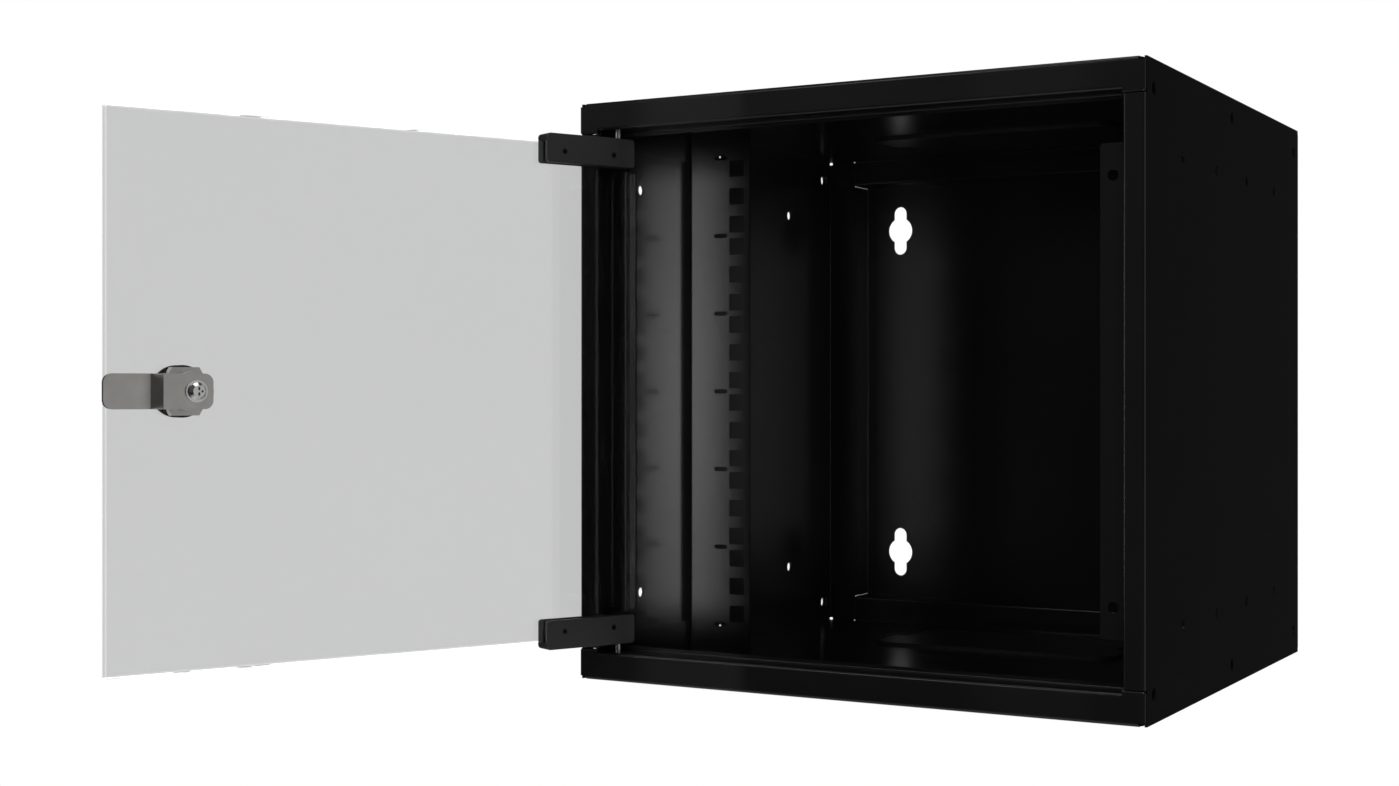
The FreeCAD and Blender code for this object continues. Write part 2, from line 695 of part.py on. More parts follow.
def make_cover(label, side):
    """Cable entry cover: a plate inside the cabinet with a boss that fills the cut-out."""
    body = new_body(label)
    under, over = side * (roof_inside - d.cover_thick), side * roof_inside
    wide, neck = d.cover_width / 2, d.cover_width / 2 - d.cover_ear
    step = cover_front + d.cover_ear_depth
    low, high = ordered(under, over)
    pad(body, "plate", "Z", low, high, [
        (-wide, cover_front), (wide, cover_front), (wide, step), (neck, step),
        (neck, cover_rear), (-neck, cover_rear), (-neck, step), (-wide, step),
    ])
    round_bends(body, "front_corners", d.cover_corner, "Z", [
        (x * wide, cover_front) for x in (-1, 1)
    ])
    round_bends(body, "step_corners", d.cover_step, "Z", [
        (x * place, y) for x in (-1, 1)
        for place, y in ((wide, step), (neck, step), (neck, cover_rear))
    ])
    rim = [
        f"Edge{i}" for i, edge in enumerate(body.Tip.Shape.Edges, start=1)
        if all(abs(vertex.Point.z - under.value) < TOUCH for vertex in edge.Vertexes)
    ]
    soften(body, "rim", "Chamfer", d.cover_edge, rim)
    boss_low, boss_high = ordered(over, side * half_height)
    pad(body, "boss", "Z", boss_low, boss_high, entry_outline(as_size(0)))
    round_entry_corners(body, "boss_corners", as_size(0))
    return body


def make_rail(label, side):
    """Rack rail: a face with square holes and unit marks, and a flange along the side panel."""
    body = new_body(label)
    outer, inner = side * rail_outside, side * rail_inside
    edge = side * d.rack_opening / 2
    face = front + d.rail_front
    face_back = face + d.rail_sheet
    half = roof_inside - d.seam
    pad(body, "angle", "Z", -half, half, [
        (edge, face), (outer, face), (outer, face + d.rail_flange),
        (inner, face + d.rail_flange), (inner, face_back), (edge, face_back),
    ])
    round_bends(body, "outer_bend", d.rail_bend, "Z", [(outer, face)])
    round_bends(body, "inner_bend", d.rail_bend - d.rail_sheet, "Z", [(inner, face_back)])
    column = side * d.rack_spacing / 2
    bottom = -d.rack_unit * d.rack_units / 2
    half_hole = d.rack_hole / 2
    hole_levels = [bottom + d.rack_hole_end + i * d.rack_hole_step for i in range(3)]
    holes = pocket(body, "unit_holes", "Y", face, face_back, *[
        rectangle(column - half_hole, column + half_hole, z - half_hole, z + half_hole)
        for z in hole_levels
    ])
    repeat(body, "hole_row", holes, "Z", d.rack_unit, d.rack_units)
    mark = side * (d.rack_spacing / 2 + d.mark_offset)
    half_mark = (d.mark_width - d.mark_height) / 2
    marks = pocket(body, "unit_mark", "Y", face, face_back, Slot(
        (mark - half_mark, bottom), (mark + half_mark, bottom), d.mark_height,
    ))
    repeat(body, "mark_row", marks, "Z", d.rack_unit, d.rack_units + 1)
    low, high = ordered(inner, outer)
    pocket(body, "screw_holes", "X", low, high, *[
        Round(rail_screw_y, end * row_z, d.row_hole) for end in (-1, 1)
    ])
    return body


def make_rail_screws(label, side):
    """Button head screws that hold a rail to the side panel, from inside."""
    top = rail_inside - d.screw_dome
    solids = []
    for name, end in (("upper", 1), ("lower", -1)):
        screw = new_body(f"{label}_{name}")
        z = end * row_z
        low, high = span(side, rail_inside, half_width)
        pad(screw, "shank", "X", low, high, Round(rail_screw_y, z, d.row_hole))
        low, high = span(side, top, rail_inside)
        pad(screw, "head", "X", low, high, Round(rail_screw_y, z, d.screw_head))
        rim = circle_edges(screw.Tip.Shape, "X", side * top, d.screw_head)
        soften(screw, "head_bevel", "Chamfer", d.screw_bevel, rim)
        low, high = span(side, top, top + d.screw_socket_depth)
        pocket(screw, "socket", "X", low, high, hexagon(rail_screw_y, z, d.screw_socket))
        solids.append(screw)
    return group(label, solids)


def circle_edges(shape, axis, level, diameter):
    """Names of the round edges of a diameter at a level along an axis."""
    names = []
    for number, edge in enumerate(shape.Edges, start=1):
        radius = getattr(edge.Curve, "Radius", None)
        if radius is None or abs(radius - as_size(diameter).value / 2) > TOUCH:
            continue
        if abs(edge.CenterOfMass[AXES[axis]] - as_size(level).value) < TOUCH:
            names.append(f"Edge{number}")
    return names


def hexagon(across, up, flats):
    """Hexagon with a flat at the top and one at the bottom."""
    half, short, corner = flats / 2, flats * HALF_SIDE, flats * HALF_SIDE * 2
    return [
        (across + corner, up), (across + short, up + half), (across - short, up + half),
        (across - corner, up), (across - short, up - half), (across + short, up - half),
    ]


def make_pin(label, side):
    """Hinge pin: a head above the lip, and a shank through it into the bracket."""
    body = new_body(label)
    head_seat = roof_opening + d.sheet
    tip = bracket_outer - d.pin_engaged
    low, high = span(side, tip, head_seat)
    pad(body, "shank", "Z", low, high, Round(pin_x, pin_y, d.pin))
    low, high = span(side, head_seat, head_seat + d.pin_head_height)
    pad(body, "head", "Z", low, high, Round(pin_x, pin_y, d.pin_head))
    ends = circle_edges(body.Tip.Shape, "Z", side * tip, d.pin)
    ends += circle_edges(
        body.Tip.Shape, "Z", side * (head_seat + d.pin_head_height), d.pin_head
    )
    soften(body, "edges", "Chamfer", d.pin_bevel, ends)
    return body


# door pieces: X along the glass from the pin axis, Y towards the inside, Z up
glass_half = d.glass / 2
bracket_outer = roof_opening - d.door_end_gap
glass_top = bracket_outer - d.bracket_web - d.gasket
glass_free = side_opening - d.glass_gap - pin_x
bracket_inner = bracket_outer - d.bracket_height
bracket_half = glass_half + d.gasket + d.bracket_wall
lock_x = glass_free - d.lock_inset
housing_end = glass_half + d.lock_reach
flange_seat = -glass_half - d.lock_washer
housing_front = flange_seat - d.lock_flange_thick
cam_front = housing_end + d.plug_end
cam_back = cam_front + d.cam_thick
tip_front = stop_back - pin_y + d.cam_clearance


def hang(thing):
    """Put a door piece on the hinge pins, swung open."""
    thing.Placement = FreeCAD.Placement(origin, FreeCAD.Rotation(upward, 1))
    bind(thing, "Placement.Base.x", pin_x)
    bind(thing, "Placement.Base.y", pin_y)
    thing.setExpression("Placement.Rotation.Angle", "-Dims.door_angle * 1 deg")
    doc.recompute()
    return thing


def make_glass():
    body = new_body("door_glass")
    pad(body, "pane", "Y", -glass_half, glass_half,
        rectangle(-d.glass_heel, glass_free, -glass_top, glass_top))
    pocket(body, "lock_hole", "Y", -glass_half, glass_half, Round(lock_x, 0, d.lock_hole))
    rims = [
        f"Edge{i}" for i, edge in enumerate(body.Tip.Shape.Edges, start=1)
        if abs(abs(edge.CenterOfMass.y) - glass_half.value) < TOUCH
        and getattr(edge.Curve, "Radius", None) is None
    ]
    soften(body, "ground_edges", "Chamfer", d.glass_edge, rims)
    return hang(body)


def channel(side, clear, wall, web, inner):
    """Section of a channel over the glass edge, open towards the middle of the door."""
    return [
        (-clear - wall, side * inner), (-clear - wall, side * (glass_top + web)),
        (clear + wall, side * (glass_top + web)), (clear + wall, side * inner),
        (clear, side * inner), (clear, side * glass_top),
        (-clear, side * glass_top), (-clear, side * inner),
    ]


def make_bracket(label, side):
    """Hinge bracket: a channel that clamps the glass, with a blind bore for the pin."""
    body = new_body(label)
    clear = glass_half + d.gasket
    seat = side * (glass_top + d.gasket)
    outer, inner = side * bracket_outer, side * bracket_inner
    pad(body, "channel", "X", -d.bracket_heel, d.bracket_arm, [
        (-bracket_half, inner), (-bracket_half, outer), (bracket_half, outer),
        (bracket_half, inner), (clear, inner), (clear, seat), (-clear, seat), (-clear, inner),
    ])
    ends = (-d.bracket_heel, d.bracket_arm)
    round_bends(body, "outer_corners", d.bracket_corner, "Y", [(x, outer) for x in ends])
    round_bends(body, "inner_corners", d.bracket_inner_corner, "Y", [(x, inner) for x in ends])
    rims = [
        f"Edge{i}" for i, edge in enumerate(body.Tip.Shape.Edges, start=1)
        if all(abs(abs(v.Point.y) - bracket_half.value) < TOUCH for v in edge.Vertexes)
        and abs(abs(edge.CenterOfMass.y) - bracket_half.value) < TOUCH
    ]
    soften(body, "broken_edges", "Chamfer", d.bracket_bevel, rims)
    low, high = ordered(side * (bracket_outer - d.pin_engaged - d.pin_end_gap), outer)
    pocket(body, "pin_bore", "Z", low, high, Round(0, 0, d.pin + 2 * d.pin_gap))
    screw_z = side * (bracket_outer - d.set_screw_drop)
    pocket(body, "set_screw_holes", "Y", clear, bracket_half, *[
        Round(d.set_screw_first + i * d.set_screw_pitch, screw_z, d.set_screw) for i in (0, 1)
    ])
    return hang(body)


def make_gasket(label, side):
    body = new_body(label)
    inner = bracket_inner + d.gasket
    pad(body, "strip", "X", -d.glass_heel, d.bracket_arm - d.gasket,
        channel(side, glass_half, d.gasket, d.gasket, inner))
    return hang(body)


def make_set_screws(label, side):
    """Set screws that press the gasket onto the glass."""
    solids = []
    z = side * (bracket_outer - d.set_screw_drop)
    start = glass_half + d.gasket
    end = bracket_half - d.set_screw_depth
    for i, name in enumerate(("near", "far")):
        screw = new_body(f"{label}_{name}")
        x = d.set_screw_first + i * d.set_screw_pitch
        pad(screw, "shank", "Y", start, end, Round(x, z, d.set_screw))
        socket = end - d.set_screw_socket_depth
        pocket(screw, "socket", "Y", socket, end, hexagon(x, z, d.set_screw_socket))
        solids.append(hang(screw))
    return group(label, solids)


def make_housing():
    """Lock housing: round flange outside the glass and a barrel through it."""
    body = new_body("lock_housing")
    pad(body, "flange", "Y", housing_front, flange_seat, Round(lock_x, 0, d.lock_flange))
    pad(body, "barrel", "Y", flange_seat, housing_end, Round(lock_x, 0, d.lock_body))
    rim = circle_edges(body.Tip.Shape, "Y", housing_front, d.lock_flange)
    soften(body, "flange_rim", "Chamfer", d.lock_flange_bevel, rim)
    pocket(body, "plug_bore", "Y", housing_front, housing_end,
           Round(lock_x, 0, d.plug + 2 * d.plug_gap))
    return hang(body)


def make_ring(label, low, high, outer, inner):
    """Flat ring about the lock axis."""
    body = new_body(label)
    pad(body, "ring", "Y", low, high, Round(lock_x, 0, outer), Round(lock_x, 0, inner))
    return hang(body)


def make_nut():
    body = new_body("lock_nut")
    low = glass_half + d.lock_washer
    pad(body, "hexagon", "Y", low, low + d.nut_thick, hexagon(lock_x, 0, d.nut_flats))
    pocket(body, "thread", "Y", low, low + d.nut_thick, Round(lock_x, 0, d.lock_body))
    return hang(body)


def make_plug():
    """Lock plug: key slot in front, square end for the cam behind."""
    body = new_body("lock_plug")
    front_face = housing_front - d.plug_face
    pad(body, "barrel", "Y", front_face, cam_front, Round(lock_x, 0, d.plug))
    half = d.plug_square / 2
    pad(body, "square", "Y", cam_front, cam_back,
        rectangle(lock_x - half, lock_x + half, -half, half))
    slot, tall = d.key_slot_width / 2, d.key_slot_height / 2
    pocket(body, "key_slot", "Y", front_face, front_face + d.key_slot_depth,
           rectangle(lock_x - slot, lock_x + slot, -tall, tall))
    pocket(body, "screw_hole", "Y", cam_back - d.cam_screw_length, cam_back,
           Round(lock_x, 0, d.cam_screw))
    return hang(body)


def make_cam():
    """Bent cam: its tip part lies nearer the glass, behind the door stop."""
    body = new_body("lock_cam")
    half = d.cam_width / 2
    tip_back = tip_front + d.cam_thick
    pad(body, "strap", "Z", -half, half, [
        (lock_x - d.cam_heel, cam_front), (lock_x + d.cam_bend_start, cam_front),
        (lock_x + d.cam_bend_end, tip_front), (lock_x + d.cam_reach, tip_front),
        (lock_x + d.cam_reach, tip_back), (lock_x + d.cam_bend_end + d.cam_thick, tip_back),
        (lock_x + d.cam_bend_start + d.cam_thick, cam_back), (lock_x - d.cam_heel, cam_back),
    ])
    for name, size, x in (
        ("heel_corners", d.cam_corner, lock_x - d.cam_heel),
        ("tip_corners", d.cam_tip_corner, lock_x + d.cam_reach),
    ):
        round_bends(body, name, size, "Y", [(x, z * half) for z in (-1, 1)])
    square = d.plug_square / 2
    pocket(body, "square_hole", "Y", cam_front, cam_back,
           rectangle(lock_x - square, lock_x + square, -square, square))
    return hang(body)


def make_cam_screw():
    """Domed screw with a cross recess that holds the cam on the plug."""
    body = new_body("cam_screw")
    seat = cam_back + d.cam_washer_thick
    top = seat + d.cam_screw_dome
    pad(body, "shank", "Y", cam_back - d.cam_screw_length, seat, Round(lock_x, 0, d.cam_screw))
    pad(body, "head", "Y", seat, top, Round(lock_x, 0, d.cam_screw_head))
    rim = circle_edges(body.Tip.Shape, "Y", top, d.cam_screw_head)
    soften(body, "dome", "Chamfer", d.cam_screw_bevel, rim)
    arm, blade = d.cam_screw_cross / 2, d.cam_screw_slot / 2
    pocket(body, "recess", "Y", top - d.cam_screw_recess, top, [
        (lock_x - arm, -blade), (lock_x - blade, -blade), (lock_x - blade, -arm),
        (lock_x + blade, -arm), (lock_x + blade, -blade), (lock_x + arm, -blade),
        (lock_x + arm, blade), (lock_x + blade, blade), (lock_x + blade, arm),
        (lock_x - blade, arm), (lock_x - blade, blade), (lock_x - arm, blade),
    ])
    return hang(body)


def make_cabinet():
    pieces = [make_back_panel(), make_rivets()]
    for name, side in (("top", 1), ("bottom", -1)):
        pieces.append(make_roof(f"{name}_panel", side))
        pieces.append(make_cover(f"{name}_cable_entry_cover", side))
    for name, side in (("right", 1), ("left", -1)):
        pieces.append(make_side(f"{name}_side_panel", side))
        pieces.append(make_rail(f"{name}_rack_rail", side))
        pieces.append(make_rail_screws(f"{name}_rail_screws", side))
    for name, side in (("upper", 1), ("lower", -1)):
        pieces.append(make_pin(f"{name}_hinge_pin", side))
    return pieces


def make_door():
    pieces = [make_glass()]
    for name, side in (("upper", 1), ("lower", -1)):
        pieces.append(make_bracket(f"{name}_hinge_bracket", side))
        pieces.append(make_gasket(f"{name}_glass_gasket", side))
        pieces.append(make_set_screws(f"{name}_set_screws", side))
    pieces.append(make_housing())
    pieces.append(make_ring("lock_gasket", flange_seat, -glass_half, d.lock_flange, d.lock_body))
    washer_back = glass_half + d.lock_washer
    pieces.append(make_ring("lock_washer", glass_half, washer_back, d.lock_flange, d.lock_body))
    pieces.append(make_nut())
    return pieces


def make_lock_cam():
    washer_back = cam_back + d.cam_washer_thick
    return [
        make_plug(),
        make_cam(),
        make_ring("cam_washer", cam_back, washer_back, d.cam_washer, d.cam_screw),
        make_cam_screw(),
    ]


def check_document():
    for thing in doc.Objects:
        if "Invalid" in thing.State or "Error" in thing.State:
            raise ValueError(f"{thing.Name} failed: {thing.State}")


def export(pieces):
    os.makedirs("parts", exist_ok=True)
    for piece in pieces:
        shape = piece.Shape
        if shape.isNull() or not shape.isValid():
            raise ValueError(f"{piece.Label} has no valid shape")
    for piece in pieces:
        piece.Shape.exportStep(os.path.join("parts", f"{piece.Label}.step"))


sub_parts = make_cabinet() + make_door() + make_lock_cam()
doc.recompute()
check_document()
export(sub_parts)
print(len(sub_parts), "pieces")
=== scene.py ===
import math

import bpy
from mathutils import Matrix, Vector

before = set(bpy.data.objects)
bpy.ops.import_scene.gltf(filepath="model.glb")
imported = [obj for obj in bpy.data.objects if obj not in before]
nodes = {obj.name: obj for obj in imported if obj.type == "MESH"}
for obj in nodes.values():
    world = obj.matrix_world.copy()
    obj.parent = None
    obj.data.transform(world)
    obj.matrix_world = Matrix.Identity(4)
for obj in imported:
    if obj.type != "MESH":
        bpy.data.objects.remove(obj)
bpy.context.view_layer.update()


# Lengths are in metres and lamp powers in watts, apart from the lens, in millimetres.

# The camera that fits the photograph's edges and vanishing point.
CAMERA_AT = (0.4136, -1.1798, 0.0)
CAMERA_ALONG = (-0.4973, 0.8676, 0.0)
CAMERA_LENS = 49.96
SENSOR_WIDTH = 36.0
CAMERA_SHIFT = (-0.0004, -0.0012)
CAMERA_REACH = 100.0

# How far the door stands open in the frame.
DOOR_ANGLE = math.radians(115.3)

# The round floor, whose outer half fades out, and the backdrop behind the object.
FLOOR_LEVEL = -1.1
FLOOR_RADIUS = 2.4
FLOOR_CORNERS = 72
FLOOR_TONE = (0.85, 0.85, 0.85, 1)
BACKDROP_AWAY = 4.2
BACKDROP_SIZE = (4.6, 3.6)
BACKDROP_TONE = (0.82, 0.82, 0.82, 1)

# The camera sees a white room. These are its levels for all other light.
BACKDROP_IN_GLOSS = 0.22
ROOM_IN_GLOSS = 0.018
ROOM_FOR_DIFFUSE = 0.20

# Index of refraction of coats and glass, and the weaker one that bends light in the pane.
GLASS_INDEX = 1.5
PANE_INDEX = 1.02
PANE_COAT_ROUGHNESS = 0.02
PANE_DARK = (0.568, 0.572, 0.571)
PANE_LIGHT = (0.576, 0.580, 0.579)
GROUND_EDGE = (0.95, 0.95, 0.95)
# Faces that look less squarely out of the pane than this are its edges.
EDGE_FACING = 0.90
PANE_FACING = 0.95

# How strongly the bumps of each grain show.
PEEL_STRENGTH = 0.10
SPECK_STRENGTH = 0.05
DRAWN_STRENGTH = 0.12
PANE_WAVE_STRENGTH = 0.02

# Where the noise textures' values lie for the most part.
NOISE_LOW = 0.3
NOISE_HIGH = 0.7

# Sockets of a colour mix node, which Blender names alike for each of its data types.
MIX_SHARE = 0
MIX_BELOW = 6
MIX_ABOVE = 7
MIX_COLOUR = 2


class Nodes:
    """A small builder for shader node trees."""

    def __init__(self, tree):
        self.tree = tree
        self.tree.nodes.clear()

    def add(self, kind, **settings):
        node = self.tree.nodes.new(kind)
        for name, value in settings.items():
            setattr(node, name, value)
        return node

    def link(self, output, socket):
        self.tree.links.new(output, socket)

    def texture(self, kind, coordinates, **inputs):
        node = self.add(kind)
        self.link(coordinates, node.inputs["Vector"])
        for name, value in inputs.items():
            node.inputs[name].default_value = value
        return node

    def spread(self, source, low, high, start=NOISE_LOW, end=NOISE_HIGH):
        """A value that goes from low to high while the source goes from start to end."""
        node = self.add("ShaderNodeMapRange")
        self.link(source, node.inputs["Value"])
        for name, value in (
            ("From Min", start), ("From Max", end), ("To Min", low), ("To Max", high),
        ):
            node.inputs[name].default_value = value
        return node.outputs["Result"]

    def tones(self, noise, dark, light):
        """A colour between two tones, by a noise."""
        node = self.add("ShaderNodeValToRGB")
        stops = node.color_ramp.elements
        for stop, place, tone in ((stops[0], NOISE_LOW, dark), (stops[1], NOISE_HIGH, light)):
            stop.position = place
            stop.color = (*tone, 1)
        self.link(noise, node.inputs["Fac"])
        return node.outputs["Color"]

    def bump(self, height, strength, distance, below=None):
        """A normal from a height, laid over the bump below it."""
        node = self.add("ShaderNodeBump")
        node.inputs["Strength"].default_value = strength
        node.inputs["Distance"].default_value = distance
        self.link(height, node.inputs["Height"])
        if below is not None:
            self.link(below, node.inputs["Normal"])
        return node.outputs["Normal"]

    def facing(self, way):
        """How far a surface looks a level way, from -1 to 1."""
        node = self.add("ShaderNodeVectorMath", operation="DOT_PRODUCT")
        self.link(self.add("ShaderNodeTexCoord").outputs["Normal"], node.inputs[0])
        node.inputs[1].default_value = (*way, 0)
        return node.outputs["Value"]

    def blend(self, share, below, colour):
        """A colour laid over another one, by a share."""
        node = self.add("ShaderNodeMix", data_type="RGBA")
        self.link(share, node.inputs[MIX_SHARE])
        self.link(below, node.inputs[MIX_BELOW])
        node.inputs[MIX_ABOVE].default_value = (*colour, 1)
        return node.outputs[MIX_COLOUR]

    def stretched(self, coordinates, scale):
        """Coordinates with a scale of their own on each axis."""
        node = self.add("ShaderNodeMapping")
        node.inputs["Scale"].default_value = scale
        self.link(coordinates, node.inputs["Vector"])
        return node.outputs["Vector"]


def empty_material(name):
    made = bpy.data.materials.new(name)
    made.use_nodes = True
    return made, Nodes(made.node_tree)


def material(name):
    """A material with its node tree, the object's coordinates and its shader."""
    made, tree = empty_material(name)
    place = tree.add("ShaderNodeTexCoord").outputs["Object"]
    shader = tree.add("ShaderNodeBsdfPrincipled")
    output = tree.add("ShaderNodeOutputMaterial")
    tree.link(shader.outputs["BSDF"], output.inputs["Surface"])
    return made, tree, place, shader


def powder_coat(name, dark, light, low, high, grain, depth):
    """Black powder coat: fine orange peel, with a slow drift of tone and gloss."""
    made, tree, place, shader = material(name)
    slow = tree.texture("ShaderNodeTexNoise", place, Scale=14.0, Detail=3.0)
    peel = tree.texture("ShaderNodeTexNoise", place, Scale=grain, Detail=4.0, Roughness=0.6)
    speck = tree.texture("ShaderNodeTexVoronoi", place, Scale=grain * 1.7)
    tree.link(tree.tones(slow.outputs["Fac"], dark, light), shader.inputs["Base Color"])
    tree.link(tree.spread(peel.outputs["Fac"], low, high), shader.inputs["Roughness"])
    wavy = tree.bump(peel.outputs["Fac"], PEEL_STRENGTH, depth)
    grainy = tree.bump(speck.outputs["Distance"], SPECK_STRENGTH, depth, wavy)
    tree.link(grainy, shader.inputs["Normal"])
    shader.inputs["IOR"].default_value = GLASS_INDEX
    return made


def metal(name, dark, light, low, high, stretch):
    """Plated metal with fine drawn lines along one axis."""
    made, tree, place, shader = material(name)
    drawn = tree.stretched(place, stretch)
    lines = tree.texture("ShaderNodeTexNoise", drawn, Scale=1.0, Detail=5.0, Roughness=0.7)
    cloud = tree.texture("ShaderNodeTexNoise", place, Scale=120.0, Detail=3.0)
    tree.link(tree.tones(cloud.outputs["Fac"], dark, light), shader.inputs["Base Color"])
    tree.link(tree.spread(lines.outputs["Fac"], low, high), shader.inputs["Roughness"])
    scored = tree.bump(lines.outputs["Fac"], DRAWN_STRENGTH, 0.00006)
    tree.link(scored, shader.inputs["Normal"])
    shader.inputs["Metallic"].default_value = 1.0
    return made


def moulded(name, dark, light, low, high, grain, depth, strength):
    """Moulded plastic or rubber with a fine spark-eroded grain."""
    made, tree, place, shader = material(name)
    grit = tree.texture("ShaderNodeTexNoise", place, Scale=grain, Detail=6.0, Roughness=0.7)
    slow = tree.texture("ShaderNodeTexNoise", place, Scale=30.0, Detail=2.0)
    tree.link(tree.tones(slow.outputs["Fac"], dark, light), shader.inputs["Base Color"])
    tree.link(tree.spread(grit.outputs["Fac"], low, high), shader.inputs["Roughness"])
    tree.link(tree.bump(grit.outputs["Fac"], strength, depth), shader.inputs["Normal"])
    return made


def tinted_glass(name, angle):
    """Glass with a light grey tint and a sharp gloss, pale on its ground edges.

    The pane looks a level way at this angle. It hardly bends light, so that its edges
    don't turn into bright prisms, and the coat gives the gloss of real glass.
    """
    made, tree, place, shader = material(name)
    flat = tree.add("ShaderNodeMath", operation="ABSOLUTE")
    tree.link(tree.facing((math.sin(angle), math.cos(angle))), flat.inputs[0])
    ground = tree.spread(flat.outputs[0], 1.0, 0.0, EDGE_FACING, PANE_FACING)
    slow = tree.texture("ShaderNodeTexNoise", place, Scale=6.0, Detail=2.0)
    haze = tree.texture("ShaderNodeTexNoise", place, Scale=40.0, Detail=4.0)
    pane = tree.tones(slow.outputs["Fac"], PANE_DARK, PANE_LIGHT)
    tree.link(tree.blend(ground, pane, GROUND_EDGE), shader.inputs["Base Color"])
    tree.link(tree.spread(haze.outputs["Fac"], 0.0, 0.012), shader.inputs["Roughness"])
    waves = tree.bump(slow.outputs["Fac"], PANE_WAVE_STRENGTH, 0.0005)
    tree.link(waves, shader.inputs["Normal"])
    shader.inputs["Transmission Weight"].default_value = 1.0
    shader.inputs["IOR"].default_value = PANE_INDEX
    shader.inputs["Coat Weight"].default_value = 1.0
    shader.inputs["Coat IOR"].default_value = GLASS_INDEX
    shader.inputs["Coat Roughness"].default_value = PANE_COAT_ROUGHNESS
    return made


def seen_white(tree):
    """The light path, with 1 for what the camera sees, also through glass, and 0 otherwise."""
    path = tree.add("ShaderNodeLightPath")
    seen = tree.add("ShaderNodeMath", operation="MAXIMUM")
    tree.link(path.outputs["Is Camera Ray"], seen.inputs[0])
    tree.link(path.outputs["Is Transmission Ray"], seen.inputs[1])
    return path, seen.outputs[0]


def pale_backdrop(name, in_gloss):
    """White to the camera and through glass, dimmer in gloss, a plain surface to other light."""
    made, tree = empty_material(name)
    path, seen = seen_white(tree)
    shown = tree.add("ShaderNodeMath", operation="MAXIMUM")
    tree.link(seen, shown.inputs[0])
    tree.link(path.outputs["Is Glossy Ray"], shown.inputs[1])
    level = tree.add("ShaderNodeMath", operation="MAXIMUM")
    tree.link(seen, level.inputs[0])
    level.inputs[1].default_value = in_gloss
    plain = tree.add("ShaderNodeBsdfDiffuse")
    plain.inputs["Color"].default_value = BACKDROP_TONE
    white = tree.add("ShaderNodeEmission")
    tree.link(level.outputs[0], white.inputs["Strength"])
    mix = tree.add("ShaderNodeMixShader")
    output = tree.add("ShaderNodeOutputMaterial")
    tree.link(shown.outputs[0], mix.inputs["Fac"])
    tree.link(plain.outputs["BSDF"], mix.inputs[1])
    tree.link(white.outputs["Emission"], mix.inputs[2])
    tree.link(mix.outputs["Shader"], output.inputs["Surface"])
    return made


def pale_floor(name):
    """Plain pale floor that keeps shadows, and fades into the white around it."""
    made, tree = empty_material(name)
    place = tree.add("ShaderNodeTexCoord").outputs["Object"]
    away = tree.add("ShaderNodeVectorMath", operation="LENGTH")
    tree.link(tree.stretched(place, (1.0, 1.0, 0.0)), away.inputs[0])
    fade = tree.spread(away.outputs["Value"], 0.0, 1.0, FLOOR_RADIUS / 2, FLOOR_RADIUS)
    plain = tree.add("ShaderNodeBsdfDiffuse")
    plain.inputs["Color"].default_value = FLOOR_TONE
    clear = tree.add("ShaderNodeBsdfTransparent")
    mix = tree.add("ShaderNodeMixShader")
    output = tree.add("ShaderNodeOutputMaterial")
    tree.link(fade, mix.inputs["Fac"])
    tree.link(plain.outputs["BSDF"], mix.inputs[1])
    tree.link(clear.outputs["BSDF"], mix.inputs[2])
    tree.link(mix.outputs["Shader"], output.inputs["Surface"])
    return made


def flat_piece(name, points, surface):
    """A flat piece of the studio, which isn't part of the object."""
    mesh = bpy.data.meshes.new(name)
    mesh.from_pydata([tuple(point) for point in points], [], [tuple(range(len(points)))])
    mesh.materials.append(surface)
    piece = bpy.data.objects.new(name, mesh)
    bpy.context.scene.collection.objects.link(piece)


def dress_nodes():
    """Procedural materials on the carried-over pieces."""
    coat = powder_coat("black_powder_coat", (0.0040, 0.0040, 0.0042), (0.0056, 0.0056, 0.0058),
                       0.20, 0.26, 900.0, 0.00008)
    satin = powder_coat("satin_black", (0.014, 0.014, 0.014), (0.018, 0.018, 0.018),
                        0.40, 0.48, 1500.0, 0.00006)
    oxide = metal("black_oxide", (0.020, 0.020, 0.021), (0.035, 0.035, 0.036),
                  0.30, 0.42, (900.0, 900.0, 900.0))
    plastic = moulded("black_plastic", (0.0055, 0.0055, 0.0057), (0.0080, 0.0080, 0.0082),
                      0.34, 0.46, 1600.0, 0.00008, 0.25)
    rubber = moulded("black_rubber", (0.006, 0.006, 0.006), (0.010, 0.010, 0.010),
                     0.65, 0.85, 900.0, 0.0001, 0.3)
    nickel = metal("nickel_plate", (0.50, 0.485, 0.465), (0.56, 0.545, 0.525),
                   0.30, 0.36, (260.0, 260.0, 2600.0))
    bright = metal("bright_plate", (0.70, 0.70, 0.69), (0.80, 0.80, 0.79),
                   0.12, 0.22, (500.0, 500.0, 3000.0))
    glass = tinted_glass("tinted_glass", DOOR_ANGLE)
    finishes = {
        "left_rail_screws": oxide,
        "right_rail_screws": oxide,
        "upper_set_screws": oxide,
        "lower_set_screws": oxide,
        "top_cable_entry_cover": plastic,
        "bottom_cable_entry_cover": plastic,
        "upper_hinge_bracket": satin,
        "lower_hinge_bracket": satin,
        "upper_glass_gasket": rubber,
        "lower_glass_gasket": rubber,
        "lock_gasket": rubber,
        "lock_washer": rubber,
        "upper_hinge_pin": bright,
        "lower_hinge_pin": bright,
        "lock_housing": nickel,
        "lock_nut": nickel,
        "lock_plug": nickel,
        "lock_cam": nickel,
        "cam_washer": bright,
        "cam_screw": bright,
        "door_glass": glass,
    }
    for name, node in nodes.items():
        surface = finishes.get(name, coat)
        if not node.data.materials:
            node.data.materials.append(surface)
        for i in range(len(node.data.materials)):
            node.data.materials[i] = surface


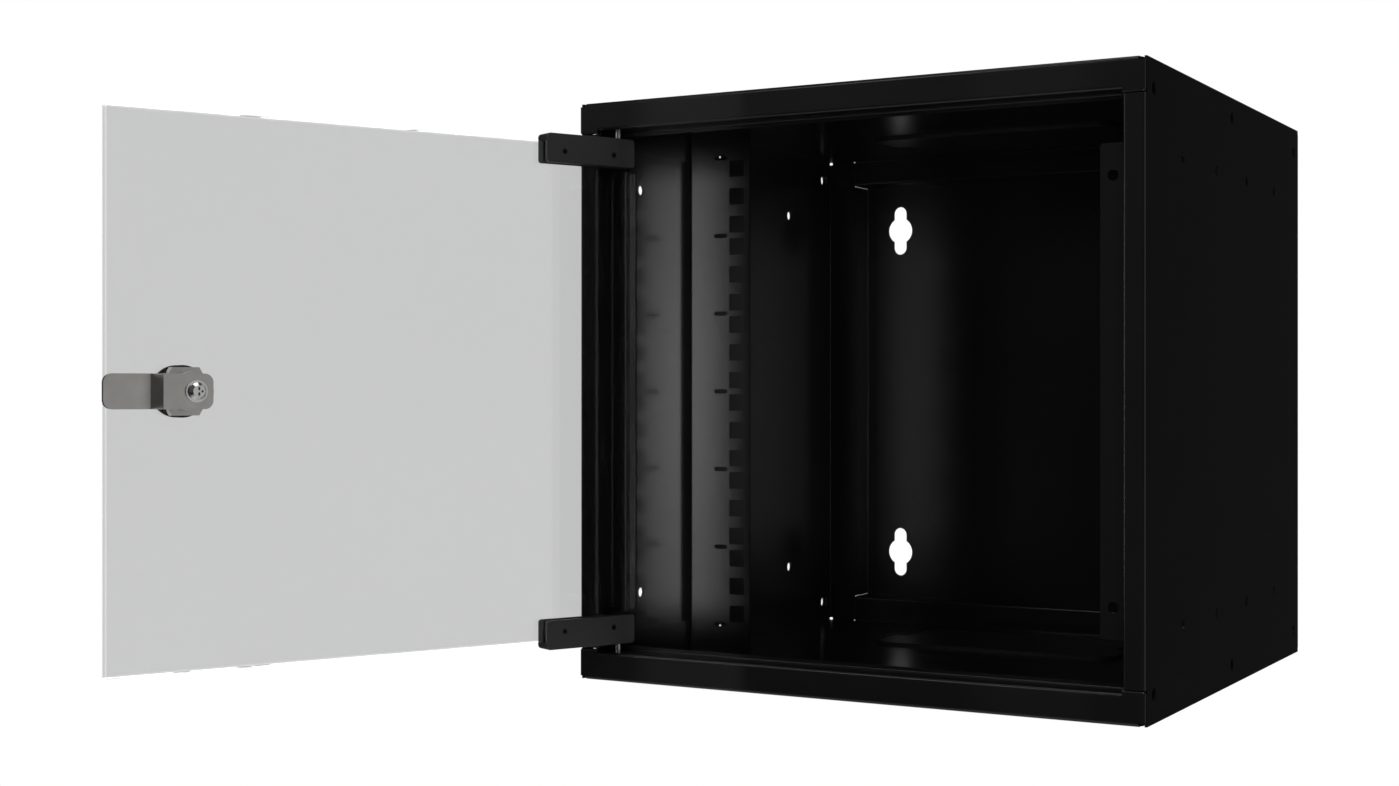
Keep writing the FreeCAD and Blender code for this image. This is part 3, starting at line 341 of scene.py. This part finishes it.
def add_stage():
    """A pale floor below the object, and a backdrop square to the camera's view."""
    along = Vector(CAMERA_ALONG)
    across = along.cross(Vector((0, 0, 1))).normalized()
    turns = [math.radians(360 * i / FLOOR_CORNERS) for i in range(FLOOR_CORNERS)]
    flat_piece("floor", [
        (FLOOR_RADIUS * math.cos(turn), FLOOR_RADIUS * math.sin(turn), FLOOR_LEVEL)
        for turn in turns
    ], pale_floor("pale_floor"))
    middle = Vector(CAMERA_AT) + along * BACKDROP_AWAY
    width, height = BACKDROP_SIZE
    flat_piece("backdrop", [
        middle + across * (x * width / 2) + Vector((0, 0, FLOOR_LEVEL + z * height))
        for x, z in ((-1, 0), (1, 0), (1, 1), (-1, 1))
    ], pale_backdrop("pale_backdrop", BACKDROP_IN_GLOSS))


def area_light(name, at, towards, size, power, spread=180):
    """A lamp that the camera doesn't see, of a width and height, its beam spread in degrees."""
    lamp = bpy.data.lights.new(name, "AREA")
    lamp.shape = "RECTANGLE"
    lamp.size, lamp.size_y = size
    lamp.energy = power
    lamp.spread = math.radians(spread)
    holder = bpy.data.objects.new(name, lamp)
    bpy.context.scene.collection.objects.link(holder)
    holder.location = at
    aim = Vector(towards) - Vector(at)
    holder.rotation_euler = aim.to_track_quat("-Z", "Y").to_euler()
    holder.visible_camera = False


def add_light():
    """Soft studio light, with two strip lamps close in front of the opening.

    The strips light the left wall and rail, which the photograph shows bright.
    """
    area_light("strip", (-0.064, -0.354, 0.0), (-0.151, -0.209, 0.0), (0.05, 0.48), 0.086, 24)
    area_light("small_strip", (0.118, -0.36, 0.0), (-0.073, 0.0, 0.0), (0.05, 0.36), 0.018, 30)
    area_light("left_high", (-1.5, -2.3, 0.75), (0, -0.3, 0.1), (1.2, 1.4), 0.43)
    area_light("left_far", (-2.4, -1.9, 0.3), (0, -0.3, 0), (1.2, 1.4), 4.0)
    area_light("left_near", (-0.5, -2.4, 0.45), (0, -0.3, 0), (0.9, 1.6), 0.20)
    area_light("right_softbox", (3.0, -0.9, 0), (0, -0.4, 0), (2.6, 3.4), 12.0)
    area_light("top_softbox", (0.2, -0.6, 2.1), (0, -0.2, 0), (1.8, 1.2), 12.0)
    area_light("upper_left", (-0.65, -1.6, 0.95), (0, -0.1, -0.1), (0.4, 0.3), 1.4)
    area_light("over_camera", (0.41, -1.3, 0.9), (0, -0.2, 0), (0.6, 0.4), 4.5)
    area_light("under_camera", (0.41, -1.3, -0.9), (0, -0.2, 0), (0.6, 0.4), 4.5)


def add_room():
    """A world that is white to the camera and dim to the object."""
    world = bpy.data.worlds.new("studio")
    bpy.context.scene.world = world
    world.use_nodes = True
    tree = Nodes(world.node_tree)
    path, seen = seen_white(tree)
    room = tree.add("ShaderNodeMath", operation="MULTIPLY_ADD")
    tree.link(path.outputs["Is Diffuse Ray"], room.inputs[0])
    room.inputs[1].default_value = ROOM_FOR_DIFFUSE
    room.inputs[2].default_value = ROOM_IN_GLOSS
    level = tree.add("ShaderNodeMath", operation="MAXIMUM")
    tree.link(seen, level.inputs[0])
    tree.link(room.outputs[0], level.inputs[1])
    around = tree.add("ShaderNodeBackground")
    around.inputs["Color"].default_value = (1, 1, 1, 1)
    tree.link(level.outputs[0], around.inputs["Strength"])
    output = tree.add("ShaderNodeOutputWorld")
    tree.link(around.outputs["Background"], output.inputs["Surface"])


def add_camera():
    """A level camera at the photograph's place."""
    lens = bpy.data.cameras.new("camera")
    lens.sensor_width = SENSOR_WIDTH
    lens.lens = CAMERA_LENS
    lens.shift_x, lens.shift_y = CAMERA_SHIFT
    lens.clip_end = CAMERA_REACH
    camera = bpy.data.objects.new("camera", lens)
    bpy.context.scene.collection.objects.link(camera)
    camera.location = CAMERA_AT
    heading = math.atan2(-CAMERA_ALONG[0], CAMERA_ALONG[1])
    camera.rotation_euler = (math.radians(90), 0, heading)
    bpy.context.scene.camera = camera


dress_nodes()
add_stage()
add_light()
add_room()
add_camera()
bpy.context.scene.view_settings.view_transform = "Standard"
